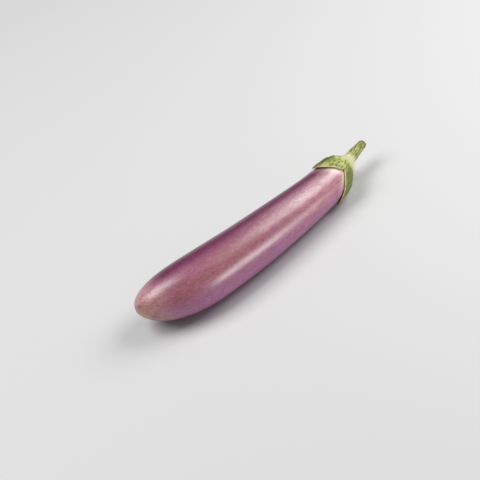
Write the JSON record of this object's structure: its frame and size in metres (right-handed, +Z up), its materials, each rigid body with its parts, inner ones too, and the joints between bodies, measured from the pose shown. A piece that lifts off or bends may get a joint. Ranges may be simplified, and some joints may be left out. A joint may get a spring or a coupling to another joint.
{
  "type": "eggplant",
  "caption": "Slender pale-purple eggplant, gently bent, with a lobed green calyx and a short cut stem, lying on its side.",
  "frame": {"origin": "middle of the bounding box in plan, at the level of the surface that the eggplant lies on", "axes": "+X along the fruit from the blossom end to the stem, +Z up; the belly bows out towards -Y"},
  "size_m": [0.2304, 0.0478, 0.0419],
  "materials": {
    "skin": "satin",
    "calyx_green": "matte",
    "stem_green": "matte"
  },
  "bodies": {
    "root": {"fruit": "skin", "calyx": "calyx_green", "stem": "stem_green"}
  },
  "joints": []
}
